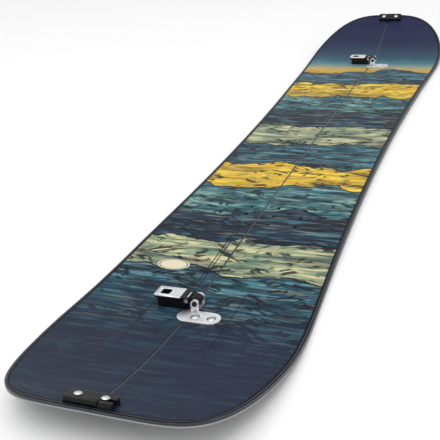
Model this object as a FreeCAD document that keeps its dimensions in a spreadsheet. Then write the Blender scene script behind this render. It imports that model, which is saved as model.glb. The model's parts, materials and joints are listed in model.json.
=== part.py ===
"""Splitboard: a snowboard cut lengthwise into two skis, with the parts that hold it together.

Frame: +Y towards the nose, +X to the right-hand ski, +Z up. The origin is under the middle of
the board, on the plane that the flat part of the base rests on. Lengths are in millimetres.

Each piece is built in its own small frame and carried to its place on the deck by a Placement.
"""

import FreeCAD, Part
import math
import os

import Sketcher
from FreeCAD import Placement, Rotation, Vector

SIZES = {
    # outline from above: a sidecut between two rounded ends
    "board_length": 1470.0,
    "waist_width": 247.0,
    "nose_width": 283.0,
    "nose_wide_at": 547.0,
    "nose_squareness": 3.2,
    "nose_bluntness": 2.0,
    "tail_width": 282.5,
    "tail_wide_at": 566.0,
    "tail_squareness": 5.8,
    "tail_bluntness": 1.5,
    "seam_gap": 0.3,
    # rocker and thickness from the side
    "nose_contact": 485.0,
    "nose_rocker_radius": 563.0,
    "tail_contact": 484.0,
    "tail_rocker_radius": 873.0,
    "core_middle": 4.2,
    "core_end": 2.2,
    "taper_start": 300.0,
    # layers
    "base_thickness": 1.6,
    "edge_width": 2.0,
    "sidewall_width": 6.0,
    "skin_thickness": 0.6,
    "topsheet_thickness": 0.5,
    "topsheet_inset": 1.2,
    # threaded inserts
    "insert_from_seam": 20.0,
    "insert_column_step": 38.1,
    "insert_row_step": 25.4,
    "rear_foot_at": 264.5,
    "front_foot_at": 239.5,
    "touring_pivot_at": 24.0,
    "touring_step": 32.0,
    "heel_rest_at": 118.0,
    "accessory_from_seam": 39.0,
    "insert_radius": 4.5,
    "insert_flange_radius": 7.0,
    "insert_flange_height": 0.8,
    "insert_seat_gap": 0.05,
    "thread_radius": 2.5,
    # draw clips, from the point where the clip's frame meets the seam
    "rear_clip_at": 514.5,
    "front_clip_at": 506.5,
    "clip_half_step": 12.5,
    "seat_depth": 2.0,
    "plate_left": 10.0,
    "plate_right": 41.0,
    "plate_half_width": 12.0,
    "plate_thickness": 2.6,
    "plate_screw_near": 11.0,
    "plate_screw_far": 30.5,
    "slide_clearance": 0.35,
    "ear_radius": 5.0,
    "ear_thickness": 2.6,
    "pivot_across": 4.5,
    "pivot_height": 8.6,
    "pivot_radius": 2.0,
    "pin_head_radius": 3.0,
    "pin_head_height": 1.2,
    "bush_radius": 2.9,
    "running_gap": 0.06,
    "knuckle_radius": 4.5,
    "knuckle_half_width": 6.8,
    "side_gap": 0.4,
    "lever_underside": 12.0,
    "lever_split": 14.0,
    "lever_top": 15.4,
    "lever_tip": 45.5,
    "lever_half_width": 11.0,
    "lever_corner_radius": 4.0,
    "housing_left": 12.5,
    "housing_right": 1.5,
    "housing_bottom": 9.0,
    "barrel_radius": 2.4,
    "barrel_across": 5.0,
    "barrel_height": 12.4,
    "barrel_overhang": 0.8,
    "barrel_socket_radius": 1.2,
    "barrel_slot_half_width": 1.6,
    "barrel_slot_half_length": 7.0,
    "lip_thickness": 2.5,
    "lip_bottom": 9.6,
    "lip_half_width": 6.8,
    "window_left": 39.5,
    "window_right": 27.5,
    "window_half_width": 5.8,
    "window_corner_radius": 3.0,
    "catch_left": 42.0,
    "catch_right": 8.0,
    "catch_top": 11.6,
    "catch_half_width": 9.5,
    "catch_corner_radius": 2.0,
    "recess_floor": 5.0,
    "catch_screw_far": 33.5,
    "catch_screw_near": 15.0,
    # end latches, from the point where the latch's frame meets the seam
    "end_latch_at": 724.0,
    "latch_pivot": 19.0,
    "latch_post": 9.0,
    "latch_left": 31.0,
    "latch_right": 20.0,
    "latch_half_width": 10.0,
    "latch_corner_radius": 5.0,
    "latch_underside": 2.0,
    "latch_top": 6.4,
    "jaw_clearance": 0.8,
    "neck_radius": 3.0,
    "pad_top": 1.7,
    "pad_half_width": 8.0,
    "pivot_pad_right": 7.0,
    "post_pad_left": 2.5,
    "guard_gap": 1.0,
    "guard_inner": 5.2,
    # screws
    "shank_radius": 2.4,
    "head_radius": 4.2,
    "head_height": 2.2,
    "head_dome_radius": 5.6,
    "head_recess_radius": 5.4,
    "head_gap": 0.3,
    "socket_radius": 1.7,
    "socket_depth": 1.4,
    "hole_clearance": 0.2,
}

END_STEPS = 12
SIDECUT_STATIONS = (-0.85, -0.65, -0.35, 0.0, 0.35, 0.65, 0.85)
SIDECUT_FLATTENING = 12
OVERRUN = 14.0
HALF_SPAN = 170.0
ABOVE_DECK = 6.0
UP = Vector(0, 0, 1)
ALONG = Vector(0, 1, 0)

doc = FreeCAD.newDocument("splitboard")
sheet = doc.addObject("Spreadsheet::Sheet", "Sizes")
for row, (alias, value) in enumerate(SIZES.items(), start=1):
    sheet.set(f"A{row}", alias)
    sheet.set(f"B{row}", str(value))
    sheet.setAlias(f"B{row}", alias)
doc.recompute()

nodes = []  # the finished sub-parts


class Dim:
    """A length that remembers the spreadsheet expression it comes from."""

    def __init__(self, number, text):
        self.number = number
        self.text = text

    def __float__(self):
        return float(self.number)

    def __add__(self, other):
        other = dim(other)
        return Dim(self.number + other.number, f"({self.text} + {other.text})")

    def __sub__(self, other):
        other = dim(other)
        return Dim(self.number - other.number, f"({self.text} - {other.text})")

    def __mul__(self, factor):
        return Dim(self.number * factor, f"({self.text} * {factor})")

    def __neg__(self):
        return self * -1


def dim(value):
    """A Dim from a plain number, or the Dim itself."""
    return value if isinstance(value, Dim) else Dim(value, str(value))


class Sizes:
    """The spreadsheet's cells, each as a Dim."""

    def __getattr__(self, alias):
        return Dim(float(sheet.get(alias)), f"Sizes.{alias}")


S = Sizes()


def size(alias):
    return float(sheet.get(alias))


def bind(thing, prop, value):
    thing.setExpression(prop, dim(value).text)


# ---- sub-parts from bound primitives ------------------------------------------------------

def box(name, x, y, z):
    """A block between three pairs of bound coordinates."""
    block = doc.addObject("Part::Box", name)
    for prop, axis, (low, high) in zip(("Length", "Width", "Height"), "xyz", (x, y, z)):
        bind(block, prop, dim(high) - low)
        bind(block, f"Placement.Base.{axis}", low)
    return block


def rod(name, radius, start, length, direction=UP):
    """A cylinder from a bound start point."""
    bar = doc.addObject("Part::Cylinder", name)
    bar.Placement = Placement(Vector(), Rotation(UP, direction))
    bind(bar, "Radius", radius)
    bind(bar, "Height", length)
    for axis, value in zip("xyz", start):
        bind(bar, f"Placement.Base.{axis}", value)
    return bar


def fuse(name, *shapes):
    joined = doc.addObject("Part::MultiFuse", name)
    joined.Shapes = list(shapes)
    joined.Refine = True
    return joined


def cut(name, base, *tools):
    result = doc.addObject("Part::Cut", name)
    result.Base = base
    result.Tool = tools[0] if len(tools) == 1 else fuse(name + "_tools", *tools)
    return result


def group(name, *solids):
    """Separate solids of one kind in one node."""
    together = doc.addObject("Part::Compound", name)
    together.Links = list(solids)
    return together


def keep(piece, name, place=None):
    """Name a finished sub-part and carry it to its place."""
    piece.Label = name
    if place is not None:
        piece.Placement = place
    nodes.append(piece)
    return piece


# ---- sub-parts from sketches --------------------------------------------------------------

class Piece:
    """A PartDesign body made of pads and pockets of bound outlines."""

    def __init__(self, name):
        self.name = name
        self.body = doc.addObject("PartDesign::Body", name)
        self.count = 0

    def sketch(self, role, offset):
        self.count += 1
        sketch = self.body.newObject("Sketcher::SketchObject", f"{self.name}_sketch{self.count}")
        planes = {plane.Role: plane for plane in self.body.Origin.OriginFeatures}
        sketch.AttachmentSupport = [(planes[role], "")]
        sketch.MapMode = "FlatFace"
        bind(sketch, "AttachmentOffset.Base.z", offset)
        return sketch

    def feature(self, kind, sketch, length):
        made = self.body.newObject(f"PartDesign::{kind}", f"{self.name}_{kind}{self.count}")
        made.Profile = sketch
        bind(made, "Length", length)
        before = self.body.Shape.Volume if self.count > 1 else 0.0
        doc.recompute()
        after = self.body.Shape.Volume
        if (after <= before) if kind == "Pad" else (after >= before):
            raise RuntimeError(f"{made.Name} changes nothing")

    def pad(self, outlines, low, high, role="XY_Plane"):
        """Add material from low to high along Z, or along Y for the XZ plane."""
        sketch = self.sketch(role, -dim(high) if role == "XZ_Plane" else low)
        for outline, bounds in outlines:
            outline(sketch, *bounds)
        self.feature("Pad", sketch, dim(high) - low)

    def pocket(self, outlines, low, high, role="XY_Plane"):
        """Take material away from low to high along Z, or along Y for the XZ plane."""
        sketch = self.sketch(role, -dim(low) if role == "XZ_Plane" else high)
        for outline, bounds in outlines:
            outline(sketch, *bounds)
        self.feature("Pocket", sketch, dim(high) - low)

    def round_upright_edges(self, radius, chosen):
        """Fillet the edges along Z whose middle passes the test."""
        upright = []
        for number, edge in enumerate(self.body.Shape.Edges, start=1):
            ends = edge.Vertexes[-1].Point - edge.Vertexes[0].Point
            straight_up = len(edge.Vertexes) == 2 and math.hypot(ends.x, ends.y) < 1e-6
            if straight_up and chosen(edge.CenterOfMass):
                upright.append(f"Edge{number}")
        block = self.body.Tip
        fillet = self.body.newObject("PartDesign::Fillet", f"{self.name}_fillet{self.count}")
        fillet.Base = (block, upright)
        bind(fillet, "Radius", radius)
        doc.recompute()


def constrain(sketch, kind, value, *where):
    index = sketch.addConstraint(Sketcher.Constraint(kind, *where, float(dim(value))))
    bind(sketch, f"Constraints[{index}]", value)


def rectangle(sketch, left, right, bottom, top):
    x = (left, right, right, left)
    y = (bottom, bottom, top, top)
    corners = [Vector(float(dim(a)), float(dim(b)), 0) for a, b in zip(x, y)]
    first = sketch.GeometryCount
    for number in range(4):
        sketch.addGeometry(Part.LineSegment(corners[number], corners[(number + 1) % 4]), False)
    for number in range(4):
        following = first + (number + 1) % 4
        sketch.addConstraint(Sketcher.Constraint("Coincident", first + number, 2, following, 1))
        level = "Horizontal" if number % 2 == 0 else "Vertical"
        sketch.addConstraint(Sketcher.Constraint(level, first + number))
    constrain(sketch, "DistanceX", left, -1, 1, first, 1)
    constrain(sketch, "DistanceY", bottom, -1, 1, first, 1)
    constrain(sketch, "DistanceX", right, -1, 1, first + 2, 1)
    constrain(sketch, "DistanceY", top, -1, 1, first + 2, 1)


def circle(sketch, x, y, radius):
    centre = Vector(float(dim(x)), float(dim(y)), 0)
    ring = sketch.addGeometry(Part.Circle(centre, UP, float(dim(radius))), False)
    constrain(sketch, "Radius", radius, ring)
    constrain(sketch, "DistanceX", x, -1, 1, ring, 3)
    constrain(sketch, "DistanceY", y, -1, 1, ring, 3)


# ---- the board's curves -------------------------------------------------------------------

def end_point(end, angle):
    """A point on the rounded end, a superellipse: angle 0 is the widest place, 90 the tip."""
    across = math.cos(math.radians(angle))
    along = (1 - across ** size(f"{end}_squareness")) ** (1 / size(f"{end}_bluntness"))
    wide_at = size(f"{end}_wide_at")
    y = wide_at + (size("board_length") / 2 - wide_at) * along
    return Vector(size(f"{end}_width") / 2 * across, y if end == "nose" else -y, 0)


def sidecut_point(station):
    """A point on the sidecut: a parabola that straightens where it meets the widest places."""
    end = "nose" if station > 0 else "tail"
    middle = (size("nose_wide_at") - size("tail_wide_at")) / 2
    reach = (size("nose_wide_at") + size("tail_wide_at")) / 2
    power = SIDECUT_FLATTENING
    rise = (power * station ** 2 - 2 * abs(station) ** power) / (power - 2)
    half_waist = size("waist_width") / 2
    flare = size(f"{end}_width") / 2 - half_waist
    return Vector(half_waist + flare * rise, middle + reach * station, 0)


def rim(inset):
    """The outer edge of the right half, moved inwards, from the tail's end to the nose's."""
    steps = [90 * step / END_STEPS for step in range(END_STEPS + 1)]
    points = [end_point("tail", angle) for angle in reversed(steps)]
    points += [sidecut_point(station) for station in SIDECUT_STATIONS]
    points += [end_point("nose", angle) for angle in steps]
    outer = Part.BSplineCurve()
    outer.interpolate(Points=points, InitialTangent=Vector(1, 0, 0), FinalTangent=Vector(-1, 0, 0))
    if not inset:
        return outer
    moved = []
    for point in points:
        heading = outer.tangent(outer.parameter(point))[0]
        moved.append(point + Vector(-heading.y, heading.x, 0) * inset)
    inner = Part.BSplineCurve()
    inner.interpolate(Points=moved, InitialTangent=Vector(1, 0, 0), FinalTangent=Vector(-1, 0, 0))
    return inner


def half_prism(inset):
    """Everything inside the right half's outline, shrunk by the inset on all sides."""
    edge = rim(inset).toShape()
    closing = Part.LineSegment(edge.Vertexes[-1].Point, edge.Vertexes[0].Point).toShape()
    face = Part.Face(Part.Wire([edge, closing]))
    prism = face.extrude(UP * HALF_SPAN)
    prism.translate(UP * -HALF_SPAN / 4)
    seam = size("seam_gap") / 2 + inset
    length = size("board_length")
    side = Part.makeBox(HALF_SPAN, length, HALF_SPAN, Vector(seam, -length / 2, -HALF_SPAN / 4))
    return prism.common(side)


def rocker_arc(end, height):
    """The upturned stretch of a surface at this height above the base, outwards from contact."""
    radius = size(f"{end}_rocker_radius")
    contact = size(f"{end}_contact")
    sweep = math.asin((size("board_length") / 2 + OVERRUN - contact) / radius)
    points = []
    for angle in (0, sweep / 2, sweep):
        y = contact + (radius - height) * math.sin(angle)
        z = radius - (radius - height) * math.cos(angle)
        points.append(Vector(0, y if end == "nose" else -y, z))
    return points


def surface_edges(at_ends, at_middle):
    """A lengthwise section of a surface that is flat in the middle and follows the rocker."""
    tail = rocker_arc("tail", at_ends)
    nose = rocker_arc("nose", at_ends)
    edges = [Part.Arc(*reversed(tail)).toShape()]
    if at_ends == at_middle:
        edges.append(Part.LineSegment(tail[0], nose[0]).toShape())
    else:
        flat = [Vector(0, side * size("taper_start"), at_middle) for side in (-1, 1)]
        edges.append(taper(tail[0], flat[0]))
        edges.append(Part.LineSegment(*flat).toShape())
        edges.append(taper(flat[1], nose[0]))
    edges.append(Part.Arc(*nose).toShape())
    return edges


def taper(start, end):
    """A smooth step between two heights, level at both ends."""
    middle = (start.y + end.y) / 2
    curve = Part.BezierCurve()
    curve.setPoles([start, Vector(0, middle, start.z), Vector(0, middle, end.z), end])
    return curve.toShape()


def slab(low, high, left=-OVERRUN, right=HALF_SPAN):
    """The space between two surfaces, each given by its heights at the ends and the middle."""
    bottom = surface_edges(*low)
    top = surface_edges(*high)
    closing = []
    for index, vertex in ((0, 0), (-1, -1)):
        ends = [edges[index].Vertexes[vertex].Point for edges in (bottom, top)]
        closing.append(Part.LineSegment(*ends).toShape())
    wire = Part.Wire(Part.__sortEdges__(bottom + top + closing))
    solid = Part.Face(wire).extrude(Vector(right - left, 0, 0))
    solid.translate(Vector(left, 0, 0))
    return solid


def through_core(above_core):
    """The heights, at the ends and the middle, of a surface this far above the wood core."""
    base = core_bottom + above_core
    return base + size("core_end"), base + size("core_middle")


core_bottom = size("base_thickness") + size("skin_thickness")
deck_over_core = size("skin_thickness") + size("topsheet_thickness")
BASE_PLANE = (0.0, 0.0)
BASE_TOP = (size("base_thickness"),) * 2
CORE_BOTTOM = (core_bottom,) * 2
CORE_TOP = through_core(0)
SKIN_TOP = through_core(size("skin_thickness"))
DECK = through_core(deck_over_core)


def deck_height(y):
    """Height of the deck over the base at a place along the board."""
    outwards = abs(y)
    contact = size("nose_contact" if y > 0 else "tail_contact")
    if outwards >= contact:
        return DECK[0]
    return DECK[1]


def deck_place(y, turn=0.0):
    """The frame of a fitting on the seam: z is square to the deck, and turn is about it."""
    end, side = ("nose", 1) if y > 0 else ("tail", -1)
    radius = size(f"{end}_rocker_radius")
    contact = size(f"{end}_contact")
    slope = math.asin(max(abs(y) - contact, 0) / radius)
    height = radius - (radius - deck_height(y)) * math.cos(slope)
    tilt = Rotation(Vector(1, 0, 0), math.degrees(slope) * side)
    along = contact + (radius - deck_height(y)) * math.sin(slope) if slope else abs(y)
    return Placement(Vector(0, along * side, height), tilt * Rotation(UP, turn))


# ---- threaded inserts ---------------------------------------------------------------------

def upright_hole(x, y):
    """Where an insert opens in the flat middle of the deck."""
    return Placement(Vector(x, y, DECK[1]), Rotation())


def tilted_hole(place, across, along=0.0):
    """Where an insert opens in the deck beside a fitting, square to the deck's curve there."""
    radius = size("nose_rocker_radius" if place.Base.y > 0 else "tail_rocker_radius") - DECK[0]
    lean = math.asin(float(along) / radius)
    rise = radius * (1 - math.cos(lean))
    tilt = Rotation(Vector(1, 0, 0), math.degrees(lean))
    return place * Placement(Vector(float(across), float(along), rise), tilt)


def insert_depth(hole):
    return deck_height(hole.Base.y) - core_bottom


def insert_shape(hole, overrun=0.0):
    """A flanged insert over the lower laminate, or with an overrun the room that it needs."""
    depth = insert_depth(hole) - size("insert_seat_gap")
    bottom = Vector(0, 0, -depth - overrun)
    body = Part.makeCylinder(size("insert_radius"), depth - deck_over_core + 2 * overrun, bottom)
    flange_height = size("insert_flange_height") + overrun
    flange = Part.makeCylinder(size("insert_flange_radius"), flange_height, bottom)
    shape = body.fuse(flange)
    shape.Placement = hole
    return shape


def thread_shape(hole):
    """The threaded bore of an insert, run on up through the deck."""
    depth = insert_depth(hole)
    shape = Part.makeCylinder(size("thread_radius"), depth + ABOVE_DECK, Vector(0, 0, -depth))
    shape.Placement = hole
    return shape


def binding_holes(side):
    """Two columns of three for each foot."""
    holes = []
    for foot in (-size("rear_foot_at"), size("front_foot_at")):
        for column in (0, 1):
            x = size("insert_from_seam") + column * size("insert_column_step")
            for row_number in (-1, 0, 1):
                holes.append(upright_hole(side * x, foot + row_number * size("insert_row_step")))
    return holes


def touring_holes(side):
    """Two beside each other and one ahead of them, for the pivot of a climbing bracket."""
    x = size("accessory_from_seam")
    y = size("touring_pivot_at")
    step = size("touring_step")
    pair = [upright_hole(side * (x + across * step / 2), y) for across in (-1, 1)]
    return pair + [upright_hole(side * x, y + step)]


def heel_holes(side):
    """Two beside each other, for the heel rest."""
    x = size("accessory_from_seam")
    step = size("touring_step")
    y = -size("heel_rest_at")
    return [upright_hole(side * (x + across * step / 2), y) for across in (-1, 1)]


CLIPS = {
    "rear": deck_place(-size("rear_clip_at")),
    "front": deck_place(size("front_clip_at")),
}
LATCHES = {
    "tail": deck_place(-size("end_latch_at")),
    "nose": deck_place(size("end_latch_at"), turn=180.0),
}


def clip_holes(side):
    """Under the draw clips and the end latches."""
    holes = []
    for place in CLIPS.values():
        if side > 0:
            across, along = (S.plate_screw_near, S.plate_screw_far), -S.clip_half_step
        else:
            across, along = (-S.catch_screw_far, -S.catch_screw_near), S.clip_half_step
        holes += [tilted_hole(place, x, along) for x in across]
    for end, place in LATCHES.items():
        pivot_side = -1 if end == "tail" else 1
        across = -S.latch_pivot if side == pivot_side else S.latch_post
        holes.append(tilted_hole(place, across))
    return holes


# ---- the laminated board ------------------------------------------------------------------

def shaped(name, shape):
    """A layer as a document object."""
    feature = doc.addObject("Part::Feature", name)
    feature.Shape = shape
    return keep(feature, name)


def make_half(name, side):
    """One ski: seven bonded layers and the inserts pressed into them."""
    inserts = {
        "binding_inserts": binding_holes(side),
        "touring_inserts": touring_holes(side),
        "heel_rest_inserts": heel_holes(side),
        "clip_inserts": clip_holes(side),
    }
    every_hole = [hole for holes in inserts.values() for hole in holes]
    threads = Part.makeCompound([thread_shape(hole) for hole in every_hole])
    rooms = Part.makeCompound([insert_shape(hole, OVERRUN) for hole in every_hole])

    def layer(inset, low, high):
        shape = half_prism(inset).common(slab(low, high))
        return shape if side > 0 else shape.mirror(Vector(), Vector(1, 0, 0))

    running = layer(0, BASE_PLANE, BASE_TOP)
    base = layer(size("edge_width"), BASE_PLANE, BASE_TOP)
    middle = layer(0, CORE_BOTTOM, CORE_TOP)
    core = layer(size("sidewall_width"), CORE_BOTTOM, CORE_TOP)
    shaped(f"{name}_base", base)
    shaped(f"{name}_steel_edge", running.cut(base))
    shaped(f"{name}_lower_laminate", layer(0, BASE_TOP, CORE_BOTTOM))
    shaped(f"{name}_wood_core", core.cut(rooms))
    shaped(f"{name}_sidewall", middle.cut(core).cut(rooms))
    shaped(f"{name}_upper_laminate", layer(0, CORE_TOP, SKIN_TOP).cut(threads))
    shaped(f"{name}_topsheet", layer(size("topsheet_inset"), SKIN_TOP, DECK).cut(threads))
    for kind, holes in inserts.items():
        solids = [insert_shape(hole).cut(thread_shape(hole)) for hole in holes]
        shaped(f"{name}_{kind}", Part.makeCompound(solids))


# ---- hardware -----------------------------------------------------------------------------

board_space = doc.addObject("Part::Feature", "board_space")
board_space.Shape = slab((-HALF_SPAN / 4,) * 2, DECK, -HALF_SPAN, HALF_SPAN)
raised = through_core(deck_over_core + size("slide_clearance"))
slide_space = doc.addObject("Part::Feature", "slide_space")
slide_space.Shape = slab((-HALF_SPAN / 4,) * 2, raised, -HALF_SPAN, size("seam_gap") / 2)


def seat(name, blank, place, *more_spaces):
    """Carry a blank to its place and trim its underside to the deck."""
    blank.Placement = place
    return keep(cut(name, blank, board_space, *more_spaces), name)


def screw(name, x, y, head_bottom, depth):
    """A button-head socket screw whose shank goes down into an insert."""
    head_top = dim(head_bottom) + S.head_height
    shank = rod(name + "_shank", S.shank_radius, (x, y, -dim(depth)), dim(head_bottom) + depth)
    dome = doc.addObject("Part::Sphere", name + "_dome")
    bind(dome, "Radius", S.head_dome_radius)
    for axis, value in zip("xyz", (x, y, head_top - S.head_dome_radius)):
        bind(dome, f"Placement.Base.{axis}", value)
    head = doc.addObject("Part::MultiCommon", name + "_head")
    head.Shapes = [rod(name + "_rim", S.head_radius, (x, y, head_bottom), S.head_height), dome]
    socket = rod(name + "_socket", S.socket_radius, (x, y, head_top - S.socket_depth), S.socket_depth)
    return cut(name, fuse(name + "_blank", shank, head), socket)


def make_lever_plate(name, place):
    """The plate on the right half: an oval foot and two ears that hold the pin."""
    y = -S.clip_half_step
    foot_low, foot_high = -S.seat_depth, S.plate_thickness
    foot = box(name + "_foot", (S.plate_half_width - S.plate_left, S.plate_right - S.plate_half_width),
               (y - S.plate_half_width, y + S.plate_half_width), (foot_low, foot_high))
    ends = [rod(f"{name}_end_{index}", S.plate_half_width, (x, y, foot_low), foot_high - foot_low)
            for index, x in enumerate((S.plate_half_width - S.plate_left,
                                       S.plate_right - S.plate_half_width))]
    low_x, high_x = S.pivot_across - S.ear_radius, S.pivot_across + S.ear_radius
    inner = S.knuckle_half_width + S.side_gap
    outer = inner + S.ear_thickness
    tongue = box(name + "_tongue", (low_x, high_x), (y, S.clip_half_step + outer), (foot_low, foot_high))
    ears = []
    for index, ear_y in enumerate((S.clip_half_step - outer, S.clip_half_step + inner)):
        ears.append(box(f"{name}_ear_{index}", (low_x, high_x), (ear_y, ear_y + S.ear_thickness),
                        (foot_low, S.pivot_height)))
        ears.append(rod(f"{name}_eye_{index}", S.ear_radius, (S.pivot_across, ear_y + S.ear_thickness,
                                                             S.pivot_height),
                        S.ear_thickness, -ALONG))
    blank = fuse(name + "_blank", foot, *ends, tongue, *ears)
    pin_hole = rod(name + "_pin_hole", S.pivot_radius,
                   (S.pivot_across, S.clip_half_step - outer, S.pivot_height), outer * 2, ALONG)
    seats = []
    for index, x in enumerate((S.plate_screw_near, S.plate_screw_far)):
        radius = S.shank_radius + S.hole_clearance
        seats.append(rod(f"{name}_hole_{index}", radius, (x, y, foot_low), foot_high - foot_low))
        head_low = S.plate_thickness - S.head_height + S.head_gap * 2
        seats.append(rod(f"{name}_counterbore_{index}", S.head_recess_radius, (x, y, head_low),
                         S.head_height))
    seat(name, cut(name + "_drilled", blank, pin_hole, *seats), place, slide_space)


def lever_arm():
    """The part of the hand lever beyond its housing, seen from above."""
    y = S.clip_half_step
    return -S.lever_tip, -S.housing_left, y - S.lever_half_width, y + S.lever_half_width


def lever_window():
    y = S.clip_half_step
    return -S.window_left, -S.window_right, y - S.window_half_width, y + S.window_half_width


def pad_lever_arm(piece, low, high):
    """The arm with its finger window, rounded at the free end and in the window's corners."""
    piece.pad([(rectangle, lever_arm())], low, high)
    piece.round_upright_edges(S.lever_corner_radius, lambda middle: middle.x < -size("window_left"))
    piece.pocket([(rectangle, lever_window())], low, high)
    left, right, bottom, top = [float(bound) for bound in lever_window()]

    def beside_window(middle):
        return left - 0.1 < middle.x < right + 0.1 and bottom - 0.1 < middle.y < top + 0.1

    piece.round_upright_edges(S.window_corner_radius, beside_window)


def make_lever(name, place):
    """The hand lever: an arm, a lip that hooks the catch, a housing for the barrel, a knuckle."""
    piece = Piece(name + "_body")
    low, high, top = S.lever_underside, S.lever_split, S.lever_top
    y = S.clip_half_step
    pad_lever_arm(piece, low, high)
    lip = (-S.lever_tip, S.lip_thickness - S.lever_tip, y - S.lip_half_width, y + S.lip_half_width)
    piece.pad([(rectangle, lip)], S.lip_bottom, high)
    sides = (y - S.lever_half_width, y + S.lever_half_width)
    piece.pad([(rectangle, (-S.housing_left, -S.housing_right, *sides))], low, top)
    piece.pad([(rectangle, (S.side_gap - S.catch_right, -S.housing_right, *sides))], S.housing_bottom, top)
    knuckle_sides = (y - S.knuckle_half_width, y + S.knuckle_half_width)
    neck = (-S.housing_left, S.pivot_across, *knuckle_sides)
    piece.pad([(rectangle, neck)], low, high)
    piece.pad([(circle, (S.pivot_across, S.pivot_height, S.knuckle_radius))], *knuckle_sides, "XZ_Plane")
    piece.pocket([(circle, (S.pivot_across, S.pivot_height, S.bush_radius))], *sides, "XZ_Plane")
    piece.pocket([(circle, (-S.barrel_across, S.barrel_height, S.barrel_radius))], *sides, "XZ_Plane")
    slot = (-S.barrel_across - S.barrel_slot_half_width, S.barrel_slot_half_width - S.barrel_across,
            y - S.barrel_slot_half_length, y + S.barrel_slot_half_length)
    piece.pocket([(rectangle, slot)], S.barrel_height, top)
    keep(piece.body, name, place)


def make_lever_cap(name, place):
    """The metal plate bonded on top of the lever's arm."""
    piece = Piece(name + "_body")
    pad_lever_arm(piece, S.lever_split, S.lever_top)
    keep(piece.body, name, place)


def make_tension_barrel(name, place):
    """The cross barrel in the lever's housing that sets how hard the clip draws."""
    y = S.clip_half_step
    half = S.lever_half_width + S.barrel_overhang
    bar = rod(name + "_bar", S.barrel_radius, (-S.barrel_across, y - half, S.barrel_height), half * 2,
              ALONG)
    ends = [rod(f"{name}_socket_{index}", S.barrel_socket_radius, (-S.barrel_across, start, S.barrel_height),
                S.socket_depth, ALONG)
            for index, start in enumerate((y - half, y + half - S.socket_depth))]
    keep(cut(name, bar, *ends), name, place)


def make_catch_block(name, place):
    """The catch on the left half: a block whose outer wall the lever's lip hooks behind."""
    piece = Piece(name + "_body")
    y = S.clip_half_step
    block = (-S.catch_left, -S.catch_right, y - S.catch_half_width, y + S.catch_half_width)
    piece.pad([(rectangle, block)], -S.seat_depth, S.catch_top)
    piece.round_upright_edges(S.catch_corner_radius, lambda middle: True)
    piece.pocket([(rectangle, lever_window())], S.recess_floor, S.catch_top)
    well = (-S.catch_screw_near, y, S.head_radius + S.hole_clearance)
    piece.pocket([(circle, well)], S.recess_floor, S.catch_top)
    heads = [(circle, (x, y, S.head_radius + S.hole_clearance))
             for x in (-S.catch_screw_far, -S.catch_screw_near)]
    piece.pocket(heads, S.recess_floor - S.head_height, S.recess_floor)
    shanks = [(circle, (x, y, S.shank_radius + S.hole_clearance))
              for x in (-S.catch_screw_far, -S.catch_screw_near)]
    piece.pocket(shanks, -S.seat_depth, S.recess_floor)
    seat(name, piece.body, place)


def make_clip(end, place):
    """A draw clip: a hinged lever on the right half that hooks a catch on the left half."""
    make_lever_plate(f"{end}_lever_plate", place)
    make_lever(f"{end}_lever", place)
    make_lever_cap(f"{end}_lever_cap", place)
    make_tension_barrel(f"{end}_tension_barrel", place)
    make_catch_block(f"{end}_catch_block", place)
    depth = dim(insert_depth(place)) - S.insert_flange_height
    y = S.clip_half_step
    head_bottom = S.plate_thickness - S.head_height + S.head_gap * 2
    plate_screws = [screw(f"{end}_plate_screw_{index}", x, -y, head_bottom, depth)
                    for index, x in enumerate((S.plate_screw_near, S.plate_screw_far))]
    keep(group(f"{end}_plate_screws", *plate_screws), f"{end}_plate_screws", place)
    catch_screws = [screw(f"{end}_catch_screw_{index}", x, y, S.recess_floor - S.head_height, depth)
                    for index, x in enumerate((-S.catch_screw_far, -S.catch_screw_near))]
    keep(group(f"{end}_catch_screws", *catch_screws), f"{end}_catch_screws", place)
    reach = S.knuckle_half_width + S.side_gap + S.ear_thickness
    shaft = rod(f"{end}_pin_shaft", S.pivot_radius, (S.pivot_across, y - reach, S.pivot_height),
                reach * 2, ALONG)
    heads = [rod(f"{end}_pin_head_{index}", S.pin_head_radius, (S.pivot_across, head_y, S.pivot_height),
                 S.pin_head_height, ALONG)
             for index, head_y in enumerate((y - reach - S.pin_head_height, y + reach))]
    keep(fuse(f"{end}_lever_pin", shaft, *heads), f"{end}_lever_pin", place)
    half = S.knuckle_half_width
    sleeve = rod(f"{end}_bush_sleeve", S.bush_radius, (S.pivot_across, y - half, S.pivot_height), half * 2,
                 ALONG)
    bore = rod(f"{end}_bush_bore", S.pivot_radius + S.running_gap,
               (S.pivot_across, y - half, S.pivot_height), half * 2, ALONG)
    keep(cut(f"{end}_lever_bush", sleeve, bore), f"{end}_lever_bush", place)


def make_latch_arm(name, place):
    """The swinging hook: it turns on one half and its jaw closes round a post on the other."""
    piece = Piece(name + "_body")
    low, high = S.latch_underside, S.latch_top
    outline = (-S.latch_left, S.latch_right, -S.latch_half_width, S.latch_half_width)
    piece.pad([(rectangle, outline)], low, high)
    piece.round_upright_edges(S.latch_corner_radius, lambda middle: True)
    jaw_radius = S.neck_radius + S.jaw_clearance
    outside = -S.latch_half_width * 1.2
    piece.pocket([(circle, (S.latch_post, 0, jaw_radius))], low, high)
    mouth = (S.latch_post - jaw_radius, S.latch_right * 1.2, outside, 0)
    piece.pocket([(rectangle, mouth)], low, high)
    pivot_radius = S.shank_radius + S.running_gap
    piece.pocket([(circle, (-S.latch_pivot, 0, pivot_radius))], low, high)
    keep(piece.body, name, place)


def make_pad(name, place, left, right, across, *blocks):
    """A low block under one end of a latch, drilled for its screw or post."""
    low, high = -S.seat_depth, S.pad_top
    pad = box(name + "_pad", (left, right), (-S.pad_half_width, S.pad_half_width), (low, high))
    hole = rod(name + "_hole", S.shank_radius + S.hole_clearance, (across, 0, low), high - low)
    solid = fuse(name + "_solid", pad, *blocks) if blocks else pad
    seat(name, cut(name + "_drilled", solid, hole), place)


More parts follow.
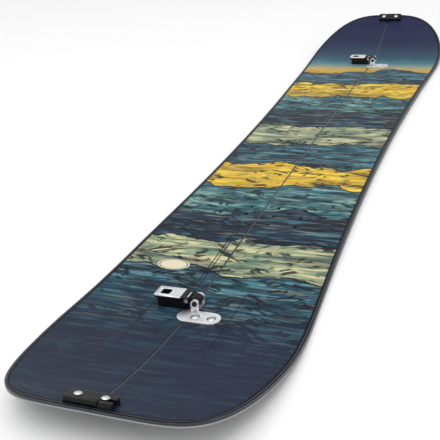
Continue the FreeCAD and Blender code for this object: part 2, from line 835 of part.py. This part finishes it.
def make_latch(end, place):
    """An end latch, with the pads and the two headed pins it works between."""
    make_latch_arm(f"{end}_latch", place)
    make_pad(f"{end}_latch_base", place, -S.latch_left, -S.pivot_pad_right, -S.latch_pivot)
    guard_left = S.latch_post - S.neck_radius - S.jaw_clearance + S.guard_gap
    guard = box(f"{end}_guard", (guard_left, S.latch_right), (-S.latch_half_width, -S.guard_inner),
                (-S.seat_depth, S.latch_top))
    make_pad(f"{end}_post_base", place, S.post_pad_left, S.latch_right, S.latch_post, guard)
    depth = dim(insert_depth(place)) - S.insert_flange_height
    head_bottom = S.latch_top + S.head_gap
    pivot = screw(f"{end}_latch_screw", -S.latch_pivot, 0, head_bottom, depth)
    keep(pivot, f"{end}_latch_screw", place)
    post = screw(f"{end}_post_pin", S.latch_post, 0, head_bottom, depth)
    neck = rod(f"{end}_post_neck", S.neck_radius, (S.latch_post, 0, S.pad_top), head_bottom - S.pad_top)
    keep(fuse(f"{end}_post", post, neck), f"{end}_post", place)


make_half("right", 1)
make_half("left", -1)
for clip_end, clip_place in CLIPS.items():
    make_clip(clip_end, clip_place)
for latch_end, latch_place in LATCHES.items():
    make_latch(latch_end, latch_place)
doc.recompute()

for thing in doc.Objects:
    if "Invalid" in thing.State or "Error" in thing.State:
        raise RuntimeError(f"{thing.Label} failed: {thing.State}")
os.makedirs("parts", exist_ok=True)
for node in nodes:
    if node.Shape.isNull() or not node.Shape.isValid() or not node.Shape.Solids:
        raise RuntimeError(f"{node.Label} has no valid solid")
    node.Shape.exportStep(os.path.join("parts", f"{node.Label}.step"))
print(len(nodes), "nodes")
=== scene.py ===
"""Looks for the splitboard: its printed deck, laminated sides, metal fittings, floor, light and camera."""

import json
import math

import bpy
from mathutils import Matrix, Vector


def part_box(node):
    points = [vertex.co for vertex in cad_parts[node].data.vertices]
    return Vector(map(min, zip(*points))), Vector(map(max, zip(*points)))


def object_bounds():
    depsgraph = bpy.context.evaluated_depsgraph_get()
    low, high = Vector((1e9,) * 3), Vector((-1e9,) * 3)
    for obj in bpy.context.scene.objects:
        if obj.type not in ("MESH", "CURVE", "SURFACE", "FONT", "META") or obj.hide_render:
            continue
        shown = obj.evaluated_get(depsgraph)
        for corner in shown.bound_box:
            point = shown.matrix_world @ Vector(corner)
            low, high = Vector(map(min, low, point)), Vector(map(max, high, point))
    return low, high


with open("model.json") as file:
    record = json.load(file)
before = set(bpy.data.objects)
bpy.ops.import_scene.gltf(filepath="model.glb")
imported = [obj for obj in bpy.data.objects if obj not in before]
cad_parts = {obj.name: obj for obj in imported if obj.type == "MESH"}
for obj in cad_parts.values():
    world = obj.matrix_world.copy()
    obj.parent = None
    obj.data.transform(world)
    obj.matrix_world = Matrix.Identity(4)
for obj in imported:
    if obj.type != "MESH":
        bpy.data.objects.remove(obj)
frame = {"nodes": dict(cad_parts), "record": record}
cad_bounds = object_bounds()

MM = 0.001
DECK_LENGTH = (cad_bounds[1][1] - cad_bounds[0][1]) / MM
HALF_WAIST = 123.5
# each end: half width, how far from the middle it is widest, and how square and how blunt it is
NOSE = (141.5, 547.0, 3.2, 2.0)
TAIL = (141.25, 566.0, 5.8, 1.5)

# ---- formulas in shader nodes ---------------------------------------------------------------


def ink(code):
    """A scene-linear colour from a six-digit sRGB code."""
    channels = [int(code[i:i + 2], 16) / 255 for i in (0, 2, 4)]
    linear = [c / 12.92 if c <= 0.04045 else ((c + 0.055) / 1.055) ** 2.4 for c in channels]
    return (*linear, 1.0)


class Field:
    """A number that varies over a surface, worked out by shader nodes so masks read as formulas."""

    def __init__(self, tree, socket):
        self.tree = tree
        self.socket = socket

    def math(self, operation, *others):
        node = self.tree.nodes.new("ShaderNodeMath")
        node.operation = operation
        for socket, value in zip(node.inputs, (self, *others)):
            plug(self.tree, value, socket)
        return Field(self.tree, node.outputs[0])

    def __add__(self, other):
        return self.math("ADD", other)

    def __sub__(self, other):
        return self.math("SUBTRACT", other)

    def __mul__(self, other):
        return self.math("MULTIPLY", other)

    def __truediv__(self, other):
        return self.math("DIVIDE", other)

    def power(self, other):
        return self.math("POWER", other)

    def absolute(self):
        return self.math("ABSOLUTE")

    def sine(self):
        return self.math("SINE")

    def distance(self, other):
        """The length of the line whose two legs are this field and the other."""
        return (self.power(2.0) + other.power(2.0)).power(0.5)

    def both(self, other):
        return self.math("MINIMUM", other)

    def either(self, other):
        return self.math("MAXIMUM", other)

    def step(self, start, end):
        """0 before start and 1 after end, smoothly between; start may be the larger."""
        node = self.tree.nodes.new("ShaderNodeMapRange")
        node.interpolation_type = "SMOOTHSTEP"
        node.clamp = False
        low, high = sorted((start, end))
        plug(self.tree, self, node.inputs["Value"])
        node.inputs["From Min"].default_value = low
        node.inputs["From Max"].default_value = high
        node.inputs["To Min"].default_value = 0.0 if start < end else 1.0
        node.inputs["To Max"].default_value = 1.0 if start < end else 0.0
        return Field(self.tree, node.outputs["Result"])


def plug(tree, value, socket):
    """Link a field to a socket, or set the socket to a plain value."""
    if isinstance(value, Field):
        tree.links.new(value.socket, socket)
    else:
        socket.default_value = value


class Paint:
    """A principled material that is built up from layers of colour under masks."""

    def __init__(self, name, colour, **finish):
        self.material = bpy.data.materials.new(name)
        self.material.use_nodes = True
        self.tree = self.material.node_tree
        self.shader = self.tree.nodes["Principled BSDF"]
        for socket, value in finish.items():
            self.shader.inputs[socket.replace("_", " ")].default_value = value
        coordinates = self.tree.nodes.new("ShaderNodeTexCoord")
        split = self.tree.nodes.new("ShaderNodeSeparateXYZ")
        self.place = coordinates.outputs["Object"]
        self.tree.links.new(self.place, split.inputs[0])
        self.x, self.y, self.z = [Field(self.tree, out) / MM for out in split.outputs]
        self.colour = ink(colour)

    def noise(self, x_size, y_size, seed, detail=2.0, z_size=None, y=None, distortion=0.0):
        """Cloudy noise from 0 to 1 whose features have these sizes in millimetres.

        Another field may stand in for the place along the board (y). Otherwise the noise hangs straight on
        the object's coordinates, which keeps a long material inside the renderer's limits.
        """
        stand_in = y / y_size if y else None
        scales = (1 / x_size, 0.0 if y else 1 / y_size, 1 / z_size if z_size else 0.0)
        node = self.tree.nodes.new("ShaderNodeTexNoise")
        node.texture_mapping.scale = [scale / MM for scale in scales]
        node.texture_mapping.translation = (0.0, 0.0, seed)
        node.inputs["Scale"].default_value = 1.0
        node.inputs["Detail"].default_value = detail
        node.inputs["Distortion"].default_value = distortion
        self.tree.links.new(self.place, node.inputs["Vector"])
        if stand_in:
            node.noise_dimensions = "4D"
            plug(self.tree, stand_in, node.inputs["W"])
        return Field(self.tree, node.outputs[0])

    def cover(self, mask, colour):
        """Paint a colour over what is there, where the mask is 1."""
        node = self.tree.nodes.new("ShaderNodeMix")
        node.data_type = "RGBA"
        plug(self.tree, mask, node.inputs["Factor"])
        self._colour_in(self.colour, node.inputs[6])
        node.inputs[7].default_value = ink(colour)
        self.colour = node.outputs[2]

    def _colour_in(self, colour, socket):
        if isinstance(colour, tuple):
            socket.default_value = colour
        else:
            self.tree.links.new(colour, socket)

    def finish(self, roughness=None, height=None, bump_mm=0.1):
        """Join the colour, and a roughness and a height where given, to the shader."""
        self._colour_in(self.colour, self.shader.inputs["Base Color"])
        if roughness is not None:
            plug(self.tree, roughness, self.shader.inputs["Roughness"])
        if height is not None:
            bump = self.tree.nodes.new("ShaderNodeBump")
            bump.inputs["Strength"].default_value = 1.0
            bump.inputs["Distance"].default_value = bump_mm * MM
            plug(self.tree, height, bump.inputs["Height"])
            self.tree.links.new(bump.outputs[0], self.shader.inputs["Normal"])
        return self.material


# ---- the printed deck -------------------------------------------------------------------------

# ranges of hills: how many, where the farthest crest is, how far apart they are and how high they roll
RANGES = 11
FARTHEST_CREST = 450.0
RANGE_PITCH = 88.0
HILL_ROLL = 130.0
# the colours that the ranges take in turn: body, light and shade
RANGE_COLOURS = [("2b4c5a", "4f8893", "182638"), ("d2a933", "ecd04c", "a39238"),
                 ("3a6a72", "7fa69d", "1b2f40"), ("222f44", "3d6a76", "141c28"),
                 ("8d9a7c", "cfc79c", "4a6660")]
INK = "12151d"
# printed lines along the board: places across it, the two ends, half width, strength and colour
GUIDES = [((-50.0, 50.0), (-602.0, -466.0), 0.6, 0.8, "10141c"),
          ((-17.5, -13.0), (-464.0, -310.0), 0.72, 1.0, "1a1d26")]
# the blank oval's middle and half sizes
OVAL_PLACE = (-64.0, -416.0)
OVAL_REACH = (22.0, 13.0)


class Landscape(Paint):
    """The deck print: plain ranges of hills, one before another, under a dusk sky."""

    def brush(self):
        """A place along the board that wanders a little, so that soft edges look brushed."""
        lift = self.noise(46, 30, 12.0, detail=3.0)
        flutter = self.noise(9, 9, 8.0, detail=2.0)
        self.v = self.y + (lift - 0.5) * 30 + (flutter - 0.5) * 8

    def sky(self):
        """Navy that clears to teal and gold above the farthest crest."""
        self.cover(self.v.step(640, 540), "2d4c5e")
        self.cover(self.v.step(560, 480), "4f8893")
        self.cover(self.v.step(520, 450), "c9a23e")
        cloud = self.noise(80, 24, 121.0, 4.0)
        self.cover(self.v.step(520, 600).both(cloud.step(0.5, 0.7)) * 0.4, "34325a")

    def hills(self):
        """Every range, the farthest first, with brushed light and shade and an inked crest."""
        for index in range(RANGES):
            body, light, shade = RANGE_COLOURS[index % len(RANGE_COLOURS)]
            seed = 20.0 + index * 7
            roll = (self.noise(120, 4000, seed) - 0.5) * HILL_ROLL
            ragged = (self.noise(16, 60, seed + 1, 3.0) - 0.5) * 14
            drop = roll + ragged + (FARTHEST_CREST - index * RANGE_PITCH) - self.y
            inside = drop.step(-1, 1)
            strokes = self.noise(70, 9, seed + 2, 3.0, distortion=0.6)
            self.cover(inside, body)
            self.cover(inside.both(strokes.step(0.52, 0.60)) * 0.85, light)
            self.cover(inside.both(strokes.step(0.46, 0.38)) * 0.85, shade)
            self.cover(drop.absolute().step(2.2, 1.0), INK)

    def pen(self, zone, x_size, y_size, seed, lean=0.0, weight=0.05):
        """Ragged pen strokes of the given spacing inside a zone."""
        level = self.noise(x_size, y_size, seed, 2.0, y=self.y + self.x * lean)
        self.cover(zone.both((level - 0.5).absolute().step(weight, weight * 0.5)) * 0.9, "10151f")

    def pen_work(self):
        """Dark washes, dry-brush marks and pen strokes over the hills, and a dark tail."""
        land = self.y.step(480, 420)
        wash = self.noise(80, 30, 161.0, 4.0, distortion=0.5)
        self.cover(land.both(wash.step(0.50, 0.36)) * 0.5, "111a26")
        dry = self.noise(60, 4, 162.0, 3.0, distortion=0.5)
        self.cover(land.both(dry.step(0.56, 0.66)) * 0.22, "d3cfa6")
        self.cover(land.both(dry.step(0.45, 0.35)) * 0.4, "141c28")
        patches = self.noise(50, 40, 164.0, 2.0)
        self.pen(land.both(patches.step(0.52, 0.58)), 46, 11, 165.0, lean=0.35)
        self.pen(land.both(patches.step(0.46, 0.40)), 40, 10, 167.0, lean=-0.5)
        self.cover(self.v.step(-430, -600) * 0.92, "20263a")

    def marks(self):
        """Fine printed guide lines and a blank oval."""
        for places, (low, high), half_width, strength, code in GUIDES:
            stretch = self.y.step(low - 3, low + 3).both(self.y.step(high + 3, high - 3))
            for x in places:
                line = (self.x - x).absolute().step(half_width + 0.15, half_width - 0.15)
                self.cover(line.both(stretch) * strength, code)
        across = (self.x - OVAL_PLACE[0]) / OVAL_REACH[0]
        along = (self.y - OVAL_PLACE[1]) / OVAL_REACH[1]
        radius = across.distance(along)
        self.cover(radius.step(1.0, 0.95), "d8cfb4")
        self.cover((radius - 0.84).absolute().step(0.045, 0.02), "3c3a36")

    def rim_distance(self):
        """How far inside the board's outline a place is, in millimetres."""
        along, across = self.y.absolute(), self.x.absolute()
        forward = self.y.step(-1, 1)
        distance = None
        for end, share in ((NOSE, forward), (TAIL, forward * -1 + 1)):
            half_width, widest, square, blunt = end
            reach = DECK_LENGTH / 2 - widest
            station = (along - widest).either(0.0) / reach
            side = (station.power(blunt) * -1 + 1).either(0.0).power(1 / square) * half_width
            # the sidecut is deepest at the waist and runs out smoothly where the end is widest
            share_out = (along / widest).both(1.0)
            sidecut = share_out.power(2.0) * -1.2 + share_out.power(12.0) * 0.2 + 1
            side = side - sidecut * (half_width - HALF_WAIST)
            tip = ((across / half_width).both(1.0).power(square) * -1 + 1).power(1 / blunt) * reach + widest
            inside = (side - across).both(tip - along) * share
            distance = inside if distance is None else distance + inside
        return distance

    def border(self):
        """The dark margin that runs round the print, with a painted highlight: a fine pale line at its
        outer side, where the rim's edge would catch the light.
        """
        margin = self.rim_distance()
        self.cover(margin.step(7.0, 5.0), "0b0d13")
        # painted highlight: a fine pale line standing in for light on the bevelled rim edge
        self.cover((margin - 2.6).absolute().step(0.7, 0.4) * 0.5, "646a78")


def deck_print():
    """The topsheet: a printed nylon sheet with a low sheen, fine grain and traces of handling."""
    art = Landscape("deck_print", "272c48", IOR=1.14)
    art.brush()
    art.sky()
    art.hills()
    art.pen_work()
    art.marks()
    art.border()
    grain = art.noise(1.1, 1.1, 151.0, 2.0)
    handling = art.noise(30, 45, 153.0, 4.0)
    return art.finish(handling * 0.16 + 0.3, grain, 0.02)


# ---- plain materials ------------------------------------------------------------------------------


def metal(name, colour, along=(60, 1.2), roughness=0.3, shade_pits=()):
    """Brushed metal: fine lines one way, faint cloudiness, small dull scuffs, and painted shade in the
    counterbores round screws where given.
    """
    paint = Paint(name, colour, Metallic=1.0)
    lines = paint.noise(along[0], along[1], 5.0, 2.0, z_size=along[1])
    cloud = paint.noise(9, 9, 7.0, 3.0, z_size=9)
    paint.cover(cloud.step(0.45, 0.75) * 0.25, "9da0a6")
    paint.cover(paint.noise(3, 3, 9.0, 3.0, z_size=3).step(0.62, 0.72) * 0.25, "6b6e74")
    for x, y, radius in shade_pits:
        # painted shade: the counterbore round each screw head is darkened to near-black, as the recess
        # would be in shadow
        paint.cover((paint.x - x).distance(paint.y - y).step(radius, radius - 0.4), "1b1c1f")
    return paint.finish(lines * 0.22 + roughness + cloud * 0.08, lines, 0.015)


def plate_shade_pits():
    """Where the plate screws sit in their counterbores, and how wide those are, in millimetres; there the
    plate metal gets painted shade.
    """
    shade_pits = []
    for end in ("rear", "front"):
        low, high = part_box(f"{end}_plate_screws")
        head = (high[1] - low[1]) / 2
        for x in (low[0] + head, high[0] - head):
            shade_pits.append((x / MM, (low[1] + high[1]) / 2 / MM, head / MM + 1.2))
    return shade_pits


def moulded(name, colour, light):
    """Glass-filled nylon: a fine leathery grain, with paler rubbed patches."""
    paint = Paint(name, colour, Specular_IOR_Level=0.25)
    grain = paint.noise(0.5, 0.5, 5.0, 2.0, z_size=0.5)
    rubbed = paint.noise(7, 7, 7.0, 4.0, z_size=7)
    paint.cover(rubbed.step(0.5, 0.75) * 0.5, light)
    return paint.finish(rubbed * 0.2 + 0.38, grain, 0.03)


def sidewall():
    """Milled plastic sidewall with lengthwise machining lines."""
    paint = Paint("sidewall_plastic", "15171d")
    lines = paint.noise(300, 300, 4.0, 1.0, z_size=0.35)
    scuffs = paint.noise(12, 40, 6.0, 4.0, z_size=4)
    paint.cover(scuffs.step(0.55, 0.75) * 0.4, "3a3d45")
    return paint.finish(scuffs * 0.25 + 0.3, lines, 0.03)


def laminate():
    """Glass cloth under resin: a tight weave seen edge-on and as a hairline round the deck."""
    paint = Paint("glass_laminate", "14171f", Coat_Weight=0.3)
    weave = (paint.x * 2.6).sine() * (paint.y * 2.6).sine()
    paint.cover(weave.step(0.0, 0.8) * 0.5, "3b424c")
    paint.cover(paint.noise(20, 30, 5.0, 3.0).step(0.55, 0.7) * 0.3, "59616c")
    return paint.finish(weave * 0.05 + 0.35, weave, 0.02)


STRIP_WIDTH = 14.0
TONE_STRIDE = 12.9898


def wood():
    """The core: upright strips of pale wood, each in a tone of its own, with long grain."""
    paint = Paint("core_wood", "c9a06a")
    strip = (paint.x / STRIP_WIDTH).math("FLOOR")
    tone = (strip * TONE_STRIDE).sine().absolute()
    paint.cover(tone * 0.5, "a47a48")
    grain = paint.noise(0.9, 90, 5.0, 3.0)
    paint.cover(grain.step(0.5, 0.65) * 0.5, "7f5a33")
    joint = ((paint.x / STRIP_WIDTH).math("FRACT") - 0.5).absolute().step(0.47, 0.49)
    paint.cover(joint, "5b3f24")
    return paint.finish(grain * 0.2 + 0.55, grain, 0.05)


def base_sheet():
    """Sintered base: near-black, stone-ground in a fine lengthwise pattern, with pale wax haze."""
    paint = Paint("sintered_base", "14161b")
    grind = paint.noise(0.8, 30, 5.0, 2.0)
    haze = paint.noise(60, 120, 7.0, 4.0)
    paint.cover(haze.step(0.45, 0.75) * 0.3, "2b3038")
    band = (paint.x.absolute() - 62 + (paint.noise(90, 240, 9.0) - 0.5) * 20).absolute()
    paint.cover(band.step(9.0, 8.2) * 0.9, "2f6f7c")
    paint.cover((band - 12.0).absolute().step(1.4, 1.0) * 0.9, "c9a832")
    scratches = (paint.noise(5, 260, 11.0, 2.0) - 0.5).absolute().step(0.006, 0.002)
    paint.cover(scratches * 0.35, "6d727a")
    return paint.finish(grind * 0.2 + 0.32, grind, 0.03)


MATERIALS = {
    "topsheet": deck_print,
    "laminate": laminate,
    "wood_core": wood,
    "sidewall": sidewall,
    "base_sheet": base_sheet,
    "steel_edge": lambda: metal("edge_steel", "9a9ca0", along=(40, 0.7), roughness=0.28),
    "insert_steel": lambda: metal("insert_metal", "6d7076", along=(2, 2), roughness=0.35),
    "screw_steel": lambda: metal("bright_steel", "d4d6d8", along=(1.2, 1.2), roughness=0.14),
    "dark_steel": lambda: metal("black_oxide_steel", "2a2b2e", along=(1.2, 1.2), roughness=0.3),
    "clip_aluminium": lambda: metal("brushed_aluminium", "e6e7ea", (30, 0.8), 0.26, plate_shade_pits()),
    "black_nylon": lambda: moulded("moulded_nylon", "08080a", "18191c"),
}
slot_of = {entry["node"]: entry["material_slot"] for entry in frame["record"]["subparts"]}
finishes = {slot: make() for slot, make in MATERIALS.items()}
for name, node in frame["nodes"].items():
    node.data.materials.clear()
    node.data.materials.append(finishes[slot_of[name]])

# ---- rounded edges on the fittings ------------------------------------------------------------------

EDGE_ROUND = {"lever_cap": 0.4, "lever_plate": 0.5, "lever_pin": 0.4, "tension_barrel": 0.4, "screws": 0.2,
              "screw": 0.2, "post": 0.2, "catch_block": 0.6, "lever": 0.6, "latch": 0.8, "base": 0.5}


def round_edges(node, width):
    """Soften a fitting's sharp edges, as tumbling or a mould's radius leaves them."""
    weld = node.modifiers.new("weld", "WELD")
    weld.merge_threshold = 0.00001
    bevel = node.modifiers.new("bevel", "BEVEL")
    bevel.width = width * MM
    bevel.segments = 3
    bevel.limit_method = "ANGLE"
    bevel.angle_limit = math.radians(35)
    for face in node.data.polygons:
        face.use_smooth = True


for name, node in frame["nodes"].items():
    if name.split("_")[0] in ("rear", "front", "tail", "nose"):
        kind = name.split("_", 1)[1]
        width = next((size for word, size in EDGE_ROUND.items() if kind.endswith(word)), 0.2)
        round_edges(node, width)

# ---- floor, light and camera ------------------------------------------------------------------------


def make_floor():
    """A plain pale floor that reaches well past the view."""
    mesh = bpy.data.meshes.new("floor")
    mesh.from_pydata([(-30, -30, 0), (30, -30, 0), (30, 30, 0), (-30, 30, 0)], [], [(0, 1, 2, 3)])
    floor = bpy.data.objects.new("floor", mesh)
    floor.location.z = -0.0004
    bpy.context.scene.collection.objects.link(floor)
    paint = Paint("floor_paint", "f4f4f4", Roughness=0.9)
    paint.cover(paint.noise(900, 900, 5.0, 2.0) * 0.04, "e8e8ea")
    mesh.materials.append(paint.finish())


def soft_light(name, place, aim, size, power):
    lamp = bpy.data.lights.new(name, "AREA")
    lamp.shape = "RECTANGLE"
    lamp.size, lamp.size_y = size
    lamp.energy = power
    light = bpy.data.objects.new(name, lamp)
    light.location = place
    light.rotation_euler = (Vector(aim) - Vector(place)).to_track_quat("-Z", "Y").to_euler()
    bpy.context.scene.collection.objects.link(light)


def make_light():
    """A large soft box overhead, a low fill from the camera side and a pale surround."""
    soft_light("overhead", (-0.3, -0.9, 2.6), (0, 0, 0), (3.0, 3.0), 32)
    soft_light("side_fill", (2.4, -1.6, 1.2), (0, -0.2, 0), (1.6, 1.6), 8)
    world = bpy.data.worlds.new("surround")
    bpy.context.scene.world = world
    world.use_nodes = True
    world.node_tree.nodes["Background"].inputs[0].default_value = (1.0, 1.0, 1.0, 1.0)
    world.node_tree.nodes["Background"].inputs[1].default_value = 0.86
    bpy.context.scene.view_settings.view_transform = "Standard"


def make_camera():
    """The camera stands low behind the tail, a little to the right of the board."""
    yaw, pitch, roll = -0.4034, 0.4465, -0.0944
    ahead = Vector((math.sin(yaw) * math.cos(pitch), math.cos(yaw) * math.cos(pitch), -math.sin(pitch)))
    level = Vector((math.cos(yaw), -math.sin(yaw), 0))
    above = level.cross(ahead)
    right = level * math.cos(roll) + above * math.sin(roll)
    up = above * math.cos(roll) - level * math.sin(roll)
    camera = bpy.data.objects.new("camera", bpy.data.cameras.new("camera"))
    camera.data.lens = 65.6
    camera.data.clip_start = 0.01
    turn = Matrix((right, up, -ahead)).transposed().to_4x4()
    camera.matrix_world = Matrix.Translation((0.3415, -1.2053, 0.4847)) @ turn
    bpy.context.scene.collection.objects.link(camera)
    bpy.context.scene.camera = camera


make_floor()
make_light()
make_camera()
